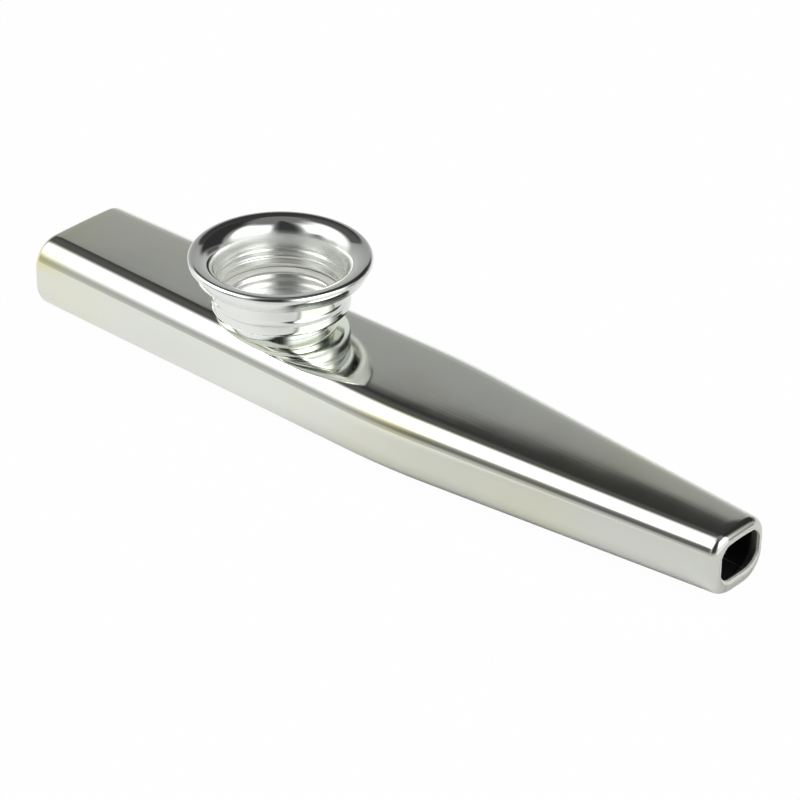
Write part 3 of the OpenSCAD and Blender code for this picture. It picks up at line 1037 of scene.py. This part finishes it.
def floor_material():
    """White to the camera, a painted glow to reflections that fades between two greys from one side to the
    other, and paper that takes the shadow to the rest.
    """
    material = bpy.data.materials.new("white_sweep")
    material.use_nodes = True
    tree = material.node_tree
    tree.nodes.clear()
    rays = add_node(tree, "ShaderNodeLightPath").outputs
    split = add_node(tree, "ShaderNodeSeparateXYZ", {"Vector": object_place(tree)})
    # painted light: the glow that reflections see is brighter on the big white card's side and fades away
    # from it
    painted_glow = ranged(tree, split.outputs["X"], {
        "From Min": BRIGHT_SIDE_X, "From Max": DIM_SIDE_X,
        "To Min": REFLECTED_BRIGHT, "To Max": REFLECTED_DIM,
    }, interpolation_type="SMOOTHSTEP")
    seen = maths(tree, "MULTIPLY", rays["Is Camera Ray"], SEEN_WHITE)
    reflected = maths(tree, "MULTIPLY", rays["Is Glossy Ray"], painted_glow)
    paper = add_node(tree, "ShaderNodeBsdfDiffuse", {"Color": grey(PAPER_GREY)})
    white = add_node(tree, "ShaderNodeEmission", {"Strength": 1})
    mix = add_node(tree, "ShaderNodeMixShader", {
        "Fac": maths(tree, "MAXIMUM", seen, reflected),
        1: paper.outputs["BSDF"], 2: white.outputs["Emission"],
    })
    add_node(tree, "ShaderNodeOutputMaterial", {"Surface": mix.outputs["Shader"]})
    return material


def add_floor():
    made = bmesh.new()
    bmesh.ops.create_grid(made, x_segments=1, y_segments=1, size=FLOOR_SIZE / 2)
    mesh = bpy.data.meshes.new("floor")
    made.to_mesh(mesh)
    made.free()
    floor = bpy.data.objects.new("floor", mesh)
    floor.location.z = -FLOOR_GAP
    bpy.context.scene.collection.objects.link(floor)
    floor.data.materials.append(floor_material())
    return floor


floor = add_floor()
print("floor is", FLOOR_SIZE, "m wide,", round(-floor.location.z / MM, 3), "mm under the kazoo")

# %% [markdown]
# Polished metal has no look of its own: it shows the studio. The studio is painted on the world as a
# grey wall that is brightest near the table, with soft-edged cards hung in front of it. Two big white
# ones light the kazoo, one beyond each end of it. Each has a lamp shining through its middle and a
# pale card under it, and a dark gap is left beside the first. Dark cards stand behind the kazoo, low
# at its right and behind the camera. Lamps in the scene would do too, but cards have the clean edges
# that polished metal shows. One node group draws a card, and each card is placed by its direction, its
# half sizes and the softness of its edges, all in degrees.

# %% Node group: soft card on the studio wall
CARD_INPUTS = ("Card azimuth", "Half width", "Side softness", "Card elevation", "Half height", "Top softness")
HALF_TURN = 180.0


def soft_card_group():
    """Puts out 1 inside a patch of directions and 0 outside it, with soft edges."""
    inputs = [(name, NUMBER, 0.0) for name in ("Azimuth", "Elevation") + CARD_INPUTS]
    group, given, out = new_group("soft_card", inputs, [("Mask", NUMBER)])

    def inside(offset, half, soft):
        """Smooth step from 1 to 0 where the offset passes the half size."""
        return ranged(group, maths(group, "ABSOLUTE", offset), {
            "From Min": maths(group, "SUBTRACT", half, soft), "From Max": maths(group, "ADD", half, soft),
            "To Min": 1, "To Max": 0,
        }, interpolation_type="SMOOTHSTEP")

    turn = maths(group, "SUBTRACT", given["Azimuth"], given["Card azimuth"])
    turn = maths(group, "WRAP", turn, HALF_TURN, -HALF_TURN)
    rise = maths(group, "SUBTRACT", given["Elevation"], given["Card elevation"])
    wide = inside(turn, given["Half width"], given["Side softness"])
    high = inside(rise, given["Half height"], given["Top softness"])
    group.links.new(maths(group, "MULTIPLY", wide, high), out["Mask"])
    return group


soft_card = soft_card_group()
print("soft card inputs:", CARD_INPUTS)

# %% [markdown]
# The wall is a colour ramp over the height of the view. Each card is then laid over what is already
# there, so a later one in the list hangs in front of an earlier one. The camera itself sees plain
# white instead of the studio.

# %% World
WALL = (
    # degrees above the table, grey
    (-90, 0.80), (0, 0.60), (4, 0.55), (10, 0.49), (18, 0.44),
    (26, 0.39), (31, 0.34), (40, 0.26), (60, 0.20), (90, 0.18),
)
CARDS = (
    # name, azimuth, half width, softness, elevation, half height, softness, brightness
    ("dark behind", 132, 42, 4, 49, 16.5, 0.9, 0.095),
    ("darkest behind", 129, 17, 10, 49, 16.5, 0.9, 0.04),
    ("black behind", 86, 26, 6, 44, 24, 5, 0.03),
    ("pale side", 196, 15, 8, 8, 24, 8, 0.90),
    ("white side", 224, 39, 14, 46, 19, 15, 2.1),
    ("dark gap", 250, 14, 12, 23, 11, 6, 0.12),
    ("side lamp", 214, 19, 8, 47, 9, 6, 5.0),
    ("pale front", 8, 36, 10, 14, 24, 8, 0.97),
    ("white front", 8, 36, 10, 47, 15, 11, 2.1),
    ("front lamp", 8, 22, 8, 46, 10, 6, 5.0),
    ("small dark", 46, 9, 5, 8, 9, 4, 0.3),
    ("low dark", 84, 16, 6, 15, 6, 4, 0.10),
    ("behind the camera", -60, 22, 9, 51, 38, 8, 0.04),
)


def ramp_place(degrees):
    """Where an elevation from -90 to 90 degrees lies on a colour ramp from 0 to 1."""
    return (degrees + HALF_TURN / 2) / HALF_TURN


def wall_colour(tree, elevation):
    from_low = maths(tree, "ADD", elevation, HALF_TURN / 2)
    made = add_node(tree, "ShaderNodeValToRGB", {"Fac": maths(tree, "DIVIDE", from_low, HALF_TURN)})
    stops = made.color_ramp.elements
    stops.remove(stops[1])
    for k, (degrees, value) in enumerate(WALL):
        stop = stops[0] if k == 0 else stops.new(ramp_place(degrees))
        stop.position = ramp_place(degrees)
        stop.color = grey(value)
    return made.outputs["Color"]


def add_world():
    world = bpy.data.worlds.new("studio")
    bpy.context.scene.world = world
    world.use_nodes = True
    tree = world.node_tree
    tree.nodes.clear()
    place = add_node(tree, "ShaderNodeTexCoord").outputs["Generated"]
    split = add_node(tree, "ShaderNodeSeparateXYZ", {"Vector": place}).outputs
    azimuth = maths(tree, "DEGREES", maths(tree, "ARCTAN2", split["Y"], split["X"]))
    elevation = maths(tree, "DEGREES", maths(tree, "ARCSINE", split["Z"]))
    colour = wall_colour(tree, elevation)
    for name, *sizes, value in CARDS:
        inputs = {"Azimuth": azimuth, "Elevation": elevation, **dict(zip(CARD_INPUTS, sizes))}
        card = add_node(tree, "ShaderNodeGroup", inputs, node_tree=soft_card, label=name)
        colour = blend(tree, "RGBA", card.outputs["Mask"], colour, grey(value))
    studio = add_node(tree, "ShaderNodeBackground", {"Color": colour})
    plain = add_node(tree, "ShaderNodeBackground", {"Color": grey(1)})
    rays = add_node(tree, "ShaderNodeLightPath").outputs
    mix = add_node(tree, "ShaderNodeMixShader", {
        "Fac": rays["Is Camera Ray"], 1: studio.outputs["Background"], 2: plain.outputs["Background"],
    })
    add_node(tree, "ShaderNodeOutputWorld", {"Surface": mix.outputs["Shader"]})
    return world


world = add_world()
print("world:", world.name, "with", len(CARDS), "cards")
